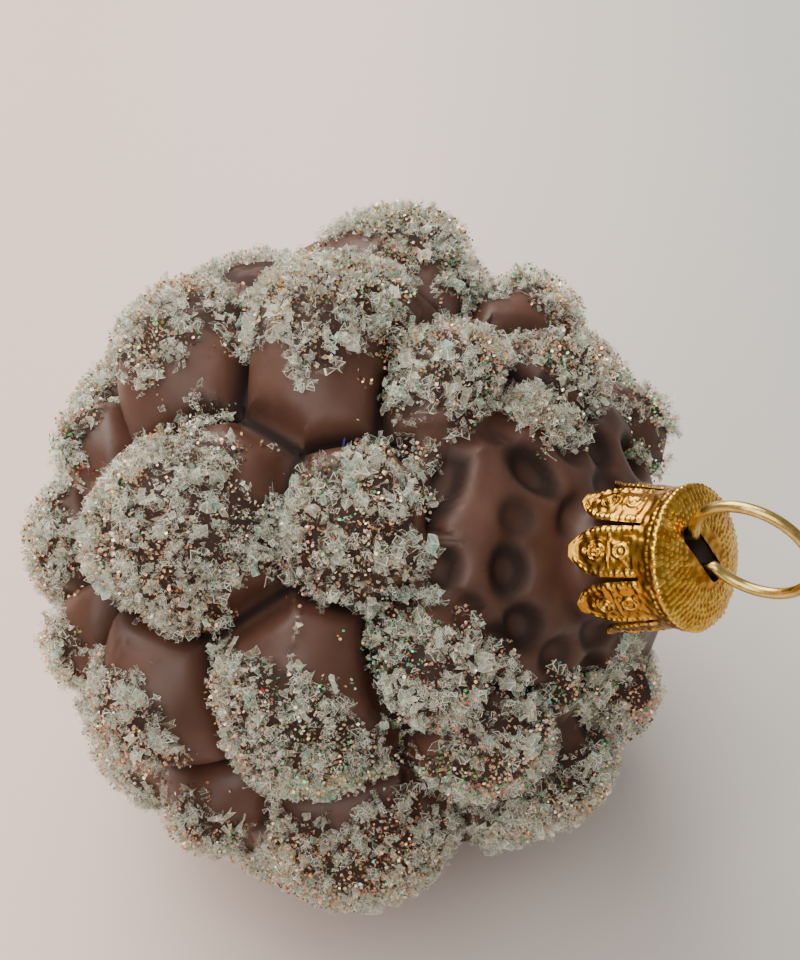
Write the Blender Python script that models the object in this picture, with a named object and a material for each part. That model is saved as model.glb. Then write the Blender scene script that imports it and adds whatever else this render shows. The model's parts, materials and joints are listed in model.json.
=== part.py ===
# A blown-glass pine-cone ornament, lying on its side, with glitter crusts, a crown cap and a wire hanger.
# Everything is modelled upright, neck up, about the middle of the body, and then laid down at the end.
# Metres, +Z up.

import math
import random

import bmesh
import bpy
from mathutils import Matrix, Vector
from mathutils.geometry import delaunay_2d_cdt

MM = 0.001

# the glass body: radius of the groove floors at its waist, and how far it is drawn in at neck and tip
FLOOR_R = 28.7 * MM
AXIS_SHARE = 0.91
WALL = 1.2 * MM

# scales: a steep edge beside each groove, then a flank that rises to a rounded tip; the inner skin rises
# less, because the blown wall is thicker there
EDGE_RISE = 1.5 * MM
EDGE_SHARE = 0.05
TIP_RISE = 5.7 * MM
TIP_POWER = 1.8
LOW_NEAR_CROWN = 0.25
LOW_NEAR_TIP = 0.35
INNER_SHARE = 0.85
INNER_EDGE_SHARE = 0.3

# how far a crust reaches from its scale's middle, as a share of the way to its groove
FULL = 0.84
PART = 0.6

# where the scales sit: polar angle from the neck, turn about the axis, size against a middling scale,
# and how far its crust reaches
SCALES = (
    # round the crown
    (40, 33, 0.82, FULL),
    (38, 65, 0.86, FULL),
    (48, 104, 1.00, FULL),
    (29, 123, 0.56, FULL),
    (52, 142, 0.66, FULL),
    (43, 181, 0.78, FULL),
    (42, 220, 0.76, PART),
    (35, 266, 0.70, FULL),
    (45, 306, 0.84, FULL),
    (50, 353, 0.84, FULL),
    # the upper waist
    (64, 31, 1.16, FULL),
    (75, 69, 1.14, FULL),
    (73, 129, 0.92, FULL),
    (70, 174, 1.05, PART),
    (68, 216, 1.05, FULL),
    (55, 257, 0.92, PART),
    (74, 273, 1.06, PART),
    (67, 309, 1.24, PART),
    (81, 355, 1.16, FULL),
    # the lower waist
    (93, 28, 1.05, PART),
    (92, 50, 0.80, PART),
    (111, 91, 0.95, FULL),
    (94, 141, 0.86, FULL),
    (101, 169, 1.05, FULL),
    (100, 203, 1.05, PART),
    (98, 238, 1.05, FULL),
    (94, 321, 1.10, PART),
    # towards the tip
    (114, 17, 0.76, PART),
    (124, 357, 0.84, FULL),
    (112, 338, 0.70, PART),
    (131, 58, 1.00, PART),
    (131, 109, 1.05, FULL),
    (130, 149, 1.05, FULL),
    (130, 190, 1.00, FULL),
    (129, 232, 1.05, PART),
    (125, 278, 1.05, FULL),
    (136, 315, 0.96, FULL),
    # the tip
    (154, 350, 0.95, FULL),
    (157, 80, 0.98, FULL),
    (157, 170, 0.98, PART),
    (156, 255, 0.98, FULL),
)
SCALE_REACH = math.radians(14.5)

# the crown: smooth glass round the neck, with rings of oval dents
CROWN_REACH = math.radians(33)
CROWN_RISE = 1.4 * MM
CROWN_POWER = 3
CROWN_FILL = 2.6 * MM
CROWN_FILL_FROM = 58
CROWN_FILL_TO = 30
DENTS = (
    # polar angle, turn, half width across, half length down, depth
    (11.6, -38, 4.5, 3.0, 0.6 * MM),
    (9.5, 53, 4.5, 3.0, 0.6 * MM),
    (13.4, 84, 4.5, 3.5, 0.7 * MM),
    (12.5, -100, 4.5, 3.5, 0.6 * MM),
    (12.0, 140, 4.5, 3.5, 0.6 * MM),
    (12.0, -155, 4.5, 3.5, 0.6 * MM),
    (21.5, -44, 4.0, 6.5, 1.3 * MM),
    (20.4, -73, 4.0, 4.0, 0.7 * MM),
    (20.0, -99, 4.5, 4.5, 1.2 * MM),
    (24.0, -130, 4.5, 4.5, 1.2 * MM),
    (22.0, -160, 4.5, 4.5, 1.1 * MM),
    (22.0, -18, 3.5, 4.0, 0.6 * MM),
    (22.5, 6, 5.0, 4.2, 1.4 * MM),
    (22.0, 34.5, 5.0, 4.2, 1.4 * MM),
    (20.0, 60, 4.0, 4.0, 0.8 * MM),
    (21.0, 92, 4.5, 4.5, 1.0 * MM),
    (21.0, 170, 4.5, 4.5, 1.1 * MM),
    (35.0, -26, 5.5, 5.0, 1.5 * MM),
    (35.0, 3, 5.0, 3.8, 1.3 * MM),
    (31.0, 19, 4.0, 3.5, 0.7 * MM),
    (32.0, -48, 4.0, 3.5, 0.7 * MM),
    (31.0, 98, 4.5, 4.0, 0.9 * MM),
    (31.5, -152, 4.5, 4.0, 1.0 * MM),
    (30.5, 176, 4.5, 4.0, 0.9 * MM),
)

# points that the skins are drawn with: rings in each scale, as (share of the way to its groove, points)
OUTER_RINGS = ((0.32, 8), (PART, 13), (FULL, 19))
OUTER_GROOVE = 1.15 * MM
INNER_RINGS = ((0.5, 7),)
INNER_GROOVE = 3.2 * MM
CLOSEST_SHARE = 0.6
DENT_RINGS = ((0.6, 6), (1.3, 8))
DENT_CLEAR = math.radians(2.5)
CROWN_STEP = 1.6 * MM
CROWN_END = math.radians(46)
CROWN_THIN = 1.6
OUTER_CROWN_RINGS = 8
INNER_CROWN_RINGS = 3
GROOVE_HALVINGS = 26
SAME_POINT = 1e-9
GROOVE_LOOKS = 72

# neck
NECK_R = 5.2 * MM
NECK_WALL = 0.9 * MM
NECK_TOP = 41.45 * MM
NECK_FOOT_R = 6.2 * MM
NECK_SIDES = 24
NECK_ROUND = 1.2 * MM

# glitter crusts
CRUST_GAP = 0.3 * MM
CRUST_THICK = 1.25 * MM
CRUST_EDGE = 0.7 * MM
CRUST_ROUGH = 0.42 * MM

# cap
CAP_WALL = 0.5 * MM
# radius and height down its outside, from the middle of its top to where the fingers part
CAP_PROFILE = (
    (0.0 * MM, 42.8 * MM),
    (2.4 * MM, 42.7 * MM),
    (4.4 * MM, 42.45 * MM),
    (5.9 * MM, 42.1 * MM),
    (6.75 * MM, 41.75 * MM),
    (6.95 * MM, 41.35 * MM),
    (6.75 * MM, 40.7 * MM),
    (6.6 * MM, 39.4 * MM),
)
# radius, height and half width of a finger in degrees, down to its turned-out end
FINGER_PROFILE = (
    (6.6 * MM, 39.4 * MM, 20.5),
    (6.75 * MM, 37.6 * MM, 20.0),
    (6.95 * MM, 35.6 * MM, 18.5),
    (6.95 * MM, 33.8 * MM, 15.5),
    (6.95 * MM, 32.8 * MM, 9.0),
    (7.35 * MM, 32.15 * MM, 4.0),
)
CAP_FINGERS = 8
FINGER_FIRST = -5
FINGER_COLUMNS = 5
SLOT_LENGTH = 7.0 * MM
SLOT_WIDTH = 2.2 * MM
SLOT_TURN = -40
SLOT_SHIFT = 0.6 * MM
SLOT_END_STEPS = 6
CUTTER_HEIGHT = 8 * MM

# hanger
WIRE_R = 0.55 * MM
RING_R = 5.8 * MM
RING_TURN = -43
RING_SHIFT = 1.0 * MM
RING_HEIGHT = 48.3 * MM
RING_OPEN = 22
RING_STEPS = 30
# its two legs in the ring's plane, as distance from the neck's axis and height
LEG_UP = ((3.4 * MM, 30.5 * MM), (3.4 * MM, 34.5 * MM), (3.3 * MM, 38.5 * MM))
LEG_DOWN = ((-1.7 * MM, 40.6 * MM), (-2.7 * MM, 37.5 * MM), (-3.4 * MM, 33.5 * MM), (-3.4 * MM, 30.5 * MM))

# how it lies: the neck's heading on the ground, its lift above it, and the turn about its own axis
LIE_HEADING = -30.5
LIE_LIFT = 28
LIE_ROLL = -128.8
RESTING_TIPS = 3
FLAT_SPOT = 0.35 * MM

RANDOM = random.Random(7)

BROWN_GLASS = (0.075, 0.036, 0.024)
GLITTER_GREY = (0.42, 0.42, 0.36)
GOLD = (0.72, 0.42, 0.10)
PALE_BRASS = (0.70, 0.58, 0.30)


def direction(polar, turn):
    """The unit vector at a polar angle from the neck and a turn about the axis, both in radians."""
    return Vector((math.sin(polar) * math.cos(turn), math.sin(polar) * math.sin(turn), math.cos(polar)))


SITES = [
    (direction(math.radians(polar), math.radians(turn)), SCALE_REACH * size, size, crusted)
    for polar, turn, size, crusted in SCALES
]
POLE = Vector((0, 0, 1))


def nearest_sites(aim):
    """The two nearest sites to a direction, as (distance, index), with the crown as index -1."""
    first = (aim.angle(POLE) / CROWN_REACH, -1)
    second = (math.inf, -2)
    for index, (centre, reach, _, _) in enumerate(SITES):
        found = (math.acos(max(-1.0, min(1.0, aim.dot(centre)))) / reach, index)
        if found < first:
            first, second = found, first
        elif found < second:
            second = found
    return first, second


def edge_share(first, second):
    """0 in a groove, 1 at the middle of a scale."""
    return (second[0] - first[0]) / (second[0] + first[0])


def floor_radius(aim):
    """Distance from the middle of the body to the bottom of its grooves."""
    across = math.hypot(aim.x, aim.y)
    fill = (CROWN_FILL_FROM - math.degrees(aim.angle(POLE))) / (CROWN_FILL_FROM - CROWN_FILL_TO)
    fill = min(1.0, max(0.0, fill))
    return FLOOR_R / math.hypot(across, aim.z / AXIS_SHARE) + CROWN_FILL * fill * fill * (3 - 2 * fill)


def dents(aim):
    polar = math.degrees(aim.angle(POLE))
    turn = math.degrees(math.atan2(aim.y, aim.x))
    depth = 0.0
    for dent_polar, dent_turn, half_width, half_length, deep in DENTS:
        off = (turn - dent_turn + 180) % 360 - 180
        across = off * math.sin(math.radians(dent_polar)) / half_width
        along = (polar - dent_polar) / half_length
        depth += deep * math.exp(-2 * (across * across + along * along))
    return depth


def tip_rise(index, share):
    """How far a scale's flank has risen, share of the way in from its groove."""
    centre, _, size, _ = SITES[index]
    low = 1 - LOW_NEAR_CROWN * max(0, centre.z) - LOW_NEAR_TIP * max(0, -centre.z)
    return TIP_RISE * low * (1 + size) / 2 * (1 - (1 - share) ** TIP_POWER)


def outer_radius(aim):
    first, second = nearest_sites(aim)
    share = edge_share(first, second)
    rise = EDGE_RISE * (1 - math.exp(-share / EDGE_SHARE))
    if first[1] < 0:
        return floor_radius(aim) + rise + CROWN_RISE * (1 - (1 - share) ** CROWN_POWER) - dents(aim)
    return floor_radius(aim) + rise + tip_rise(first[1], share)


def inner_radius(aim):
    first, second = nearest_sites(aim)
    share = edge_share(first, second)
    if first[1] < 0:
        return floor_radius(aim) - WALL
    rise = EDGE_RISE * (1 - math.exp(-share / INNER_EDGE_SHARE)) + tip_rise(first[1], share)
    return floor_radius(aim) - WALL + INNER_SHARE * rise


def to_plane(aim):
    """Stereographic: the neck's pole goes to infinity and the tip to the middle."""
    return Vector((aim.x / (1 - aim.z), aim.y / (1 - aim.z)))


def groove_angle(centre, side_way, reach_index):
    """How far from a scale's middle its groove lies, along the great circle that leaves it in side_way."""
    low, high = 0.0, 3 * SCALE_REACH
    for _ in range(GROOVE_HALVINGS):
        middle = (low + high) / 2
        aim = centre * math.cos(middle) + side_way * math.sin(middle)
        if nearest_sites(aim)[0][1] == reach_index:
            low = middle
        else:
            high = middle
    return low


def dent_points():
    """Directions at the middle of each dent and round it, so that the skin follows its bowl."""
    for polar, turn, half_width, half_length, _ in DENTS:
        yield direction(math.radians(polar), math.radians(turn))
        for share, count in DENT_RINGS:
            for step in range(count):
                angle = math.tau * step / count
                down = math.radians(polar + share * half_length * math.cos(angle))
                aside = share * half_width * math.sin(angle) / math.sin(math.radians(polar))
                yield direction(down, math.radians(turn + aside))


def skin_points(rings, groove_step, neck_polar, crown_rings, with_dents=False):
    """Directions to draw a skin through: grooves, rings in each scale and on the crown, the neck's foot.
    With them goes the scale that each ring belongs to, and the ring's share of the way to the groove."""
    aims = []
    homes = {}

    def add(aim, spacing, home=None):
        near = spacing / FLOOR_R
        if all((aim - other).length > near for other in aims):
            homes[len(aims)] = home
            aims.append(aim)

    around = []
    for index, (centre, _, _, _) in enumerate(SITES):
        side = centre.orthogonal().normalized()
        other = centre.cross(side)
        for step in range(GROOVE_LOOKS):
            turn = math.tau * step / GROOVE_LOOKS
            way = side * math.cos(turn) + other * math.sin(turn)
            reach = groove_angle(centre, way, index)
            around.append((index, step, way, reach))
            add(centre * math.cos(reach) + way * math.sin(reach), groove_step)
    for index, (centre, _, _, _) in enumerate(SITES):
        add(centre, 0, (index, 0))
        for share, count in rings:
            for step in range(count):
                place = index * GROOVE_LOOKS + round(step * GROOVE_LOOKS / count)
                _, _, way, reach = around[place]
                angle = reach * share
                aim = centre * math.cos(angle) + way * math.sin(angle)
                add(aim, groove_step * CLOSEST_SHARE, (index, share))
    for aim in dent_points() if with_dents else ():
        if nearest_sites(aim)[0][1] < 0 and aim.z < math.cos(neck_polar + DENT_CLEAR):
            add(aim, groove_step)
    for row in range(1, crown_rings + 1):
        polar = neck_polar + (CROWN_END - neck_polar) * row / (crown_rings + 0.5)
        count = round(NECK_SIDES * math.sin(polar) / math.sin(neck_polar) / CROWN_THIN)
        for step in range(count):
            aim = direction(polar, math.tau * (step + 0.5 * (row % 2)) / count)
            if nearest_sites(aim)[0][1] < 0:
                add(aim, CROWN_STEP)
    for step in range(NECK_SIDES):
        homes[len(aims)] = None
        aims.append(direction(neck_polar, math.tau * step / NECK_SIDES))
    return aims, homes


def skin_faces(aims):
    flat = [to_plane(aim) for aim in aims]
    result = delaunay_2d_cdt(flat, [], [], 0, SAME_POINT)
    points, _, faces, sources = result[0], result[1], result[2], result[3]
    assert len(points) == len(aims)
    origin = [source[0] for source in sources]
    return [[origin[corner] for corner in reversed(face)] for face in faces]


def material(name, colour, roughness, metallic=0.0, coat=0.0):
    made = bpy.data.materials.new(name)
    made.use_nodes = True
    shader = made.node_tree.nodes["Principled BSDF"]
    shader.inputs["Base Color"].default_value = (*colour, 1.0)
    shader.inputs["Roughness"].default_value = roughness
    shader.inputs["Metallic"].default_value = metallic
    shader.inputs["Coat Weight"].default_value = coat
    made.diffuse_color = (*colour, 1.0)
    return made


def place(name, mesh, finish, root):
    made = bpy.data.objects.new(name, mesh)
    mesh.materials.append(finish)
    bpy.context.scene.collection.objects.link(made)
    made.parent = root
    return made


def glass_body():
    """One closed shell: the outer skin, the neck, and the inner skin below it."""
    shell = bmesh.new()
    foot_polar = math.asin(NECK_FOOT_R / (FLOOR_R * AXIS_SHARE + EDGE_RISE + CROWN_RISE))
    outer_aims, homes = skin_points(OUTER_RINGS, OUTER_GROOVE, foot_polar, OUTER_CROWN_RINGS, with_dents=True)
    outer = [shell.verts.new(aim * outer_radius(aim)) for aim in outer_aims]
    outer_faces = skin_faces(outer_aims)
    for face in outer_faces:
        shell.faces.new([outer[corner] for corner in face])
    inner_polar = math.asin((NECK_R - NECK_WALL) / (FLOOR_R * AXIS_SHARE - WALL))
    inner_aims, _ = skin_points(INNER_RINGS, INNER_GROOVE, inner_polar, INNER_CROWN_RINGS)
    inner = [shell.verts.new(aim * inner_radius(aim)) for aim in inner_aims]
    for face in skin_faces(inner_aims):
        shell.faces.new([inner[corner] for corner in reversed(face)])
    foot = outer[-NECK_SIDES:]
    foot_height = foot[0].co.z
    flare = NECK_FOOT_R - NECK_R
    fillet = [
        (NECK_R + flare * (1 - math.sin(angle)), foot_height + NECK_ROUND * (1 - math.cos(angle)))
        for angle in (math.radians(45), math.radians(90))
    ]
    rim = [(NECK_R, NECK_TOP), (NECK_R - NECK_WALL, NECK_TOP)]
    loops = [foot]
    for radius, height in fillet + rim:
        loops.append([
            shell.verts.new((
                radius * math.cos(math.tau * step / NECK_SIDES),
                radius * math.sin(math.tau * step / NECK_SIDES),
                height,
            ))
            for step in range(NECK_SIDES)
        ])
    loops.append(inner[-NECK_SIDES:])
    for low, high in zip(loops, loops[1:]):
        for step in range(NECK_SIDES):
            after = (step + 1) % NECK_SIDES
            shell.faces.new([low[step], low[after], high[after], high[step]])
    bmesh.ops.recalc_face_normals(shell, faces=shell.faces)
    mesh = bpy.data.meshes.new("glass_body")
    shell.to_mesh(mesh)
    shell.free()
    mesh.shade_smooth()
    return mesh, outer_aims, homes, outer_faces


def crust_corners(index, homes, faces):
    """The skin's faces on one scale's tip, out to the ring that its crust reaches, with no corner pinched."""
    kept = []
    for face in faces:
        rings = [homes[corner] for corner in face]
        if all(home and home[0] == index and home[1] <= SITES[index][3] for home in rings):
            kept.append(face)
    while True:
        border = {}
        for face in kept:
            for start, end in zip(face, face[1:] + face[:1]):
                border[(start, end)] = (end, start) not in border
                if (end, start) in border:
                    border[(start, end)] = border[(end, start)] = False
        ends = [start for (start, end), open_side in border.items() if open_side]
        pinched = {corner for corner in ends if ends.count(corner) > 1}
        if not pinched:
            return kept, [pair for pair, open_side in border.items() if open_side]
        kept = [face for face in kept if not pinched & set(face)]


def crust(index, aims, homes, faces, normals):
    """A hard patch of glued flakes over one scale's tip, a hair clear of the glass."""
    kept, border = crust_corners(index, homes, faces)
    rim = {corner for pair in border for corner in pair}
    patch = bmesh.new()
    low, high = {}, {}
    for corner in sorted({corner for face in kept for corner in face}):
        seat = aims[corner] * outer_radius(aims[corner])
        low[corner] = patch.verts.new(seat + normals[corner] * CRUST_GAP)
        thick = CRUST_EDGE
        if corner not in rim:
            thick = CRUST_THICK + CRUST_ROUGH * RANDOM.uniform(-1, 1)
        high[corner] = patch.verts.new(seat + normals[corner] * (CRUST_GAP + thick))
    for face in kept:
        patch.faces.new([high[corner] for corner in face])
        patch.faces.new([low[corner] for corner in reversed(face)])
    for start, end in border:
        patch.faces.new([low[start], low[end], high[end], high[start]])
    return patch


def press_flat(patches, down):
    """Cut the lowest tips level, so that the ornament rests on three flat spots."""
    lows = sorted(max(vert.co.dot(down) for vert in patch.verts) for patch in patches)
    floor = lows[-RESTING_TIPS] - FLAT_SPOT
    for patch in patches:
        everything = list(patch.verts) + list(patch.edges) + list(patch.faces)
        cut = bmesh.ops.bisect_plane(
            patch, geom=everything, dist=1e-8, plane_co=down * floor, plane_no=down, clear_outer=True
        )["geom_cut"]
        edges = [part for part in cut if isinstance(part, bmesh.types.BMEdge)]
        if edges:
            bmesh.ops.holes_fill(patch, edges=edges, sides=len(edges))


def cap_sheet():
    """The cap's outside as a sheet: a domed top and skirt, and the fingers that hang from it."""
    sheet = bmesh.new()
    step = 360 / CAP_FINGERS
    shares = [2 * column / FINGER_COLUMNS - 1 for column in range(FINGER_COLUMNS + 1)]

    def row(radius, height, half_width):
        return [
            [
                sheet.verts.new((
                    radius * math.cos(math.radians(FINGER_FIRST + finger * step + share * half_width)),
                    radius * math.sin(math.radians(FINGER_FIRST + finger * step + share * half_width)),
                    height,
                ))
                for share in shares
            ]
            for finger in range(CAP_FINGERS)
        ]

    root_half = FINGER_PROFILE[0][2]
    middle = sheet.verts.new((0, 0, CAP_PROFILE[0][1]))
    rows = [row(radius, height, root_half) for radius, height in CAP_PROFILE[1:]]
    rings = [[vert for finger in made for vert in finger] for made in rows]
    for here, after in zip(rings[0], rings[0][1:] + rings[0][:1]):
        sheet.faces.new([middle, here, after])
    for upper, lower in zip(rings, rings[1:]):
        for index, start in enumerate(upper):
            after = (index + 1) % len(upper)
            sheet.faces.new([start, lower[index], lower[after], upper[after]])
    above = rows[-1]
    for radius, height, half_width in FINGER_PROFILE[1:]:
        below = row(radius, height, half_width)
        for upper, lower in zip(above, below):
            for column in range(FINGER_COLUMNS):
                sheet.faces.new([upper[column], lower[column], lower[column + 1], upper[column + 1]])
        above = below
    mesh = bpy.data.meshes.new("cap")
    sheet.to_mesh(mesh)
    sheet.free()
    mesh.shade_smooth()
    return mesh


def slot_cutter(root):
    """A round-ended bar through the cap's top."""
    bar = bmesh.new()
    end_r = SLOT_WIDTH / 2
    half = SLOT_LENGTH / 2 - end_r
    outline = []
    for end, start_angle in ((half, -90), (-half, 90)):
        for step in range(SLOT_END_STEPS + 1):
            angle = math.radians(start_angle + 180 * step / SLOT_END_STEPS)
            outline.append((SLOT_SHIFT + end + end_r * math.cos(angle), end_r * math.sin(angle)))
    base = bar.faces.new([bar.verts.new((x, y, CAP_PROFILE[-1][1])) for x, y in outline])
    raised = bmesh.ops.extrude_face_region(bar, geom=[base])["geom"]
    raised_verts = [part for part in raised if isinstance(part, bmesh.types.BMVert)]
    bmesh.ops.translate(bar, vec=(0, 0, CUTTER_HEIGHT), verts=raised_verts)
    bmesh.ops.recalc_face_normals(bar, faces=bar.faces)
    mesh = bpy.data.meshes.new("slot_cutter")
    bar.to_mesh(mesh)
    bar.free()
    cutter = bpy.data.objects.new("slot_cutter", mesh)
    cutter.hide_render = True
    cutter.display_type = "WIRE"
    cutter.rotation_euler.z = math.radians(SLOT_TURN)
    cutter.parent = root
    bpy.context.scene.collection.objects.link(cutter)
    return cutter


def crown_cap(root, finish):
    made = place("cap", cap_sheet(), finish, root)
    wall = made.modifiers.new("wall", "SOLIDIFY")
    wall.thickness = CAP_WALL
    wall.offset = -1
    slot = made.modifiers.new("slot", "BOOLEAN")
    slot.object = slot_cutter(root)
    slot.operation = "DIFFERENCE"
    slot.solver = "EXACT"
    return made


def hanger_route():
    """One wire: up out of the neck, round the ring, and back down, in the ring's own plane."""
    points = list(LEG_UP)
    for step in range(RING_STEPS + 1):
        angle = math.radians(180 - RING_OPEN - (360 - 2 * RING_OPEN) * step / RING_STEPS)
        points.append((RING_SHIFT + RING_R * math.sin(angle), RING_HEIGHT + RING_R * math.cos(angle)))
    return points + list(LEG_DOWN)


def hanger(root, finish):
    wire = bpy.data.curves.new("hanger", "CURVE")
    wire.dimensions = "3D"
    wire.bevel_depth = WIRE_R
    wire.bevel_resolution = 2
    wire.use_fill_caps = True
    run = wire.splines.new("POLY")
    route = hanger_route()
    run.points.add(len(route) - 1)
    turn = math.radians(RING_TURN)
    for point, (out, height) in zip(run.points, route):
        point.co = (out * math.cos(turn), out * math.sin(turn), height, 1)
    return place("hanger", wire, finish, root)


def clear_scene():
    for old in list(bpy.data.objects):
        bpy.data.objects.remove(old)


def lying():
    return (
        Matrix.Rotation(math.radians(LIE_HEADING), 3, "Z")
        @ Matrix.Rotation(math.radians(90 - LIE_LIFT), 3, "Y")
        @ Matrix.Rotation(math.radians(LIE_ROLL), 3, "Z")
    )


def stand_on_origin(root):
    """Shift everything so that the middle of its box's underside is at the origin."""
    bpy.context.view_layer.update()
    graph = bpy.context.evaluated_depsgraph_get()
    corners = []
    for made in root.children:
        if made.display_type != "WIRE":
            shown = made.evaluated_get(graph)
            mesh = shown.to_mesh()
            corners += [shown.matrix_world @ vert.co for vert in mesh.vertices]
            shown.to_mesh_clear()
    lowest = Vector([min(corner[axis] for corner in corners) for axis in range(3)])
    highest = Vector([max(corner[axis] for corner in corners) for axis in range(3)])
    root.location -= Vector(((lowest.x + highest.x) / 2, (lowest.y + highest.y) / 2, lowest.z))


def main():
    clear_scene()
    root = bpy.data.objects.new("ornament", None)
    bpy.context.scene.collection.objects.link(root)
    root.rotation_euler = lying().to_euler()
    brown = material("brown_lacquered_glass", BROWN_GLASS, 0.32, coat=0.4)
    glitter = material("glitter_crust", GLITTER_GREY, 0.6)
    gold = material("gold_cap", GOLD, 0.3, metallic=1.0)
    brass = material("pale_brass_wire", PALE_BRASS, 0.25, metallic=1.0)
    mesh, aims, homes, faces = glass_body()
    normals = [vert.normal.copy() for vert in mesh.vertices[: len(aims)]]
    place("glass_body", mesh, brown, root)
    patches = [crust(index, aims, homes, faces, normals) for index in range(len(SITES))]
    press_flat(patches, lying().inverted() @ Vector((0, 0, -1)))
    for index, patch in enumerate(patches):
        crust_mesh = bpy.data.meshes.new("crust")
        patch.to_mesh(crust_mesh)
        patch.free()
        place(f"glitter_crust_{index + 1:02d}", crust_mesh, glitter, root)
    crown_cap(root, gold)
    hanger(root, brass)
    stand_on_origin(root)


main()
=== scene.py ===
# A mould-blown glass pine cone for hanging up, lying on its side: brown lacquered scales, crusts of clear flakes
# and fine glitter on their tips, a stamped gold crown cap and a wire ring.

import json
import math

import bpy
import numpy as np
from mathutils import Matrix, Vector

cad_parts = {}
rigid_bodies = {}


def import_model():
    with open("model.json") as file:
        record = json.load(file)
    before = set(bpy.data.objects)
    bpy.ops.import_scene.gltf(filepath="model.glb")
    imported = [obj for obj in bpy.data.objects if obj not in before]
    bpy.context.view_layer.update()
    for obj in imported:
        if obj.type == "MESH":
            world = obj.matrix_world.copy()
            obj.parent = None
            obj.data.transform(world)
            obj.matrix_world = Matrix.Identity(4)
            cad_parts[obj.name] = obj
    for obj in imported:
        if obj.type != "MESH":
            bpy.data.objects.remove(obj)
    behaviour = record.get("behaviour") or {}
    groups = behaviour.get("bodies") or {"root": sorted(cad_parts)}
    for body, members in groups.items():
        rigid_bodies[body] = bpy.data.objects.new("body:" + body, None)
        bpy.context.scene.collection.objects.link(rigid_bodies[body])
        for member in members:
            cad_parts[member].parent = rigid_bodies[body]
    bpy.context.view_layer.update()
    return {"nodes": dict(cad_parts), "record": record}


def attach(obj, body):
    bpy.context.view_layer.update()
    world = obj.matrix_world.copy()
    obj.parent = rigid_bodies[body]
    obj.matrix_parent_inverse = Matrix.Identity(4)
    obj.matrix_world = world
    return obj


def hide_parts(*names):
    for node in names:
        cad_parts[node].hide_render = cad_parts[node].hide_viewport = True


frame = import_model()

mm = 0.001
print("frame loaded:", len(frame["nodes"]), "nodes")


# how it lies: the neck's heading on the ground, its lift above it, and the turn about its own axis
lying = {"heading": -30.5, "lift": 28, "roll": -128.8}

# the wire: everything in the plane of its ring, as distance from the neck's axis and height
wire = {
    "radius": 0.55 * mm,
    "ringRadius": 5.8 * mm,
    "ringTurn": -43,
    "ringShift": 1.0 * mm,
    "ringHeight": 48.3 * mm,
    "ringOpen": 22,
    "ringSteps": 72,
    "sides": 6,
    "legUp": ((3.4, 30.5), (3.4, 32.5), (3.4, 34.5), (3.35, 36.5), (3.3, 38.5)),
    "legDown": ((-1.7, 40.6), (-2.25, 39.2), (-2.7, 37.5), (-3.1, 35.5), (-3.4, 33.5), (-3.4, 30.5)),
}

turning = (
    Matrix.Rotation(math.radians(lying["heading"]), 3, "Z")
    @ Matrix.Rotation(math.radians(90 - lying["lift"]), 3, "Y")
    @ Matrix.Rotation(math.radians(lying["roll"]), 3, "Z")
)
turningRows = np.array(turning)


def upright(polar, turn):  # the unit vector at an angle from the neck and a turn about the axis, in degrees
    polar, turn = math.radians(polar), math.radians(turn)
    return np.array((math.sin(polar) * math.cos(turn), math.sin(polar) * math.sin(turn), math.cos(polar)))


# the record says where the middle of the ring is, and that places the middle of the body
mounts = {mount["name"]: np.array(mount["pos_m"]) for mount in frame["record"]["mounts"]}
ringMiddle = wire["ringShift"] * upright(90, wire["ringTurn"]) + np.array((0, 0, wire["ringHeight"]))
bodyMiddle = mounts["hanging_ring"] - turningRows @ ringMiddle


def toFrame(points):  # from upright about the middle of the body to where it lies
    return points @ turningRows.T + bodyMiddle


def toUpright(points):
    return (points - bodyMiddle) @ turningRows


def waves(points, size, seed):  # a smooth random field, about -1 to 1, with bumps of that size
    dice = np.random.default_rng(seed)
    ways = dice.normal(size=(18, 3))
    ways /= np.linalg.norm(ways, axis=1)[:, None]
    turns = points @ ways.T * (math.pi / size) * dice.uniform(0.6, 1.5, 18) + dice.uniform(0, math.tau, 18)
    return np.cos(turns).sum(1) / 4.5


def smoothStep(low, high, values):
    share = np.clip((values - low) / (high - low), 0, 1)
    return share * share * (3 - 2 * share)


def onlyActive(piece):
    bpy.ops.object.select_all(action="DESELECT")
    piece.select_set(True)
    bpy.context.view_layer.objects.active = piece


def corners(piece):
    found = np.empty(len(piece.data.vertices) * 3)
    piece.data.vertices.foreach_get("co", found)
    return found.reshape(-1, 3)


def moveCorners(piece, places):
    piece.data.vertices.foreach_set("co", np.asarray(places, dtype=np.float32).ravel())
    piece.data.update()


def selectFaces(piece, chosen):
    bpy.context.tool_settings.mesh_select_mode = (False, False, True)
    mesh = piece.data
    mesh.vertices.foreach_set("select", np.zeros(len(mesh.vertices), bool))
    mesh.edges.foreach_set("select", np.zeros(len(mesh.edges), bool))
    mesh.polygons.foreach_set("select", chosen)


def triangleCorners(piece):  # only for a mesh that is all triangles
    found = np.empty(len(piece.data.loops), int)
    piece.data.loops.foreach_get("vertex_index", found)
    return found.reshape(-1, 3)


def keep(piece, node=None):  # the piece rides on the one body and may stand for a node
    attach(piece, "root")
    if node:
        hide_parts(node)
    return piece


def newFinish(name):
    made = bpy.data.materials.new(name)
    made.use_nodes = True
    return made, made.node_tree.nodes, made.node_tree.links, made.node_tree.nodes["Principled BSDF"]


def addNode(nodes, kind, settings=None, values=None):
    made = nodes.new(kind)
    for name, value in (settings or {}).items():
        setattr(made, name, value)
    for name, value in (values or {}).items():
        made.inputs[name].default_value = value
    return made


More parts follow.
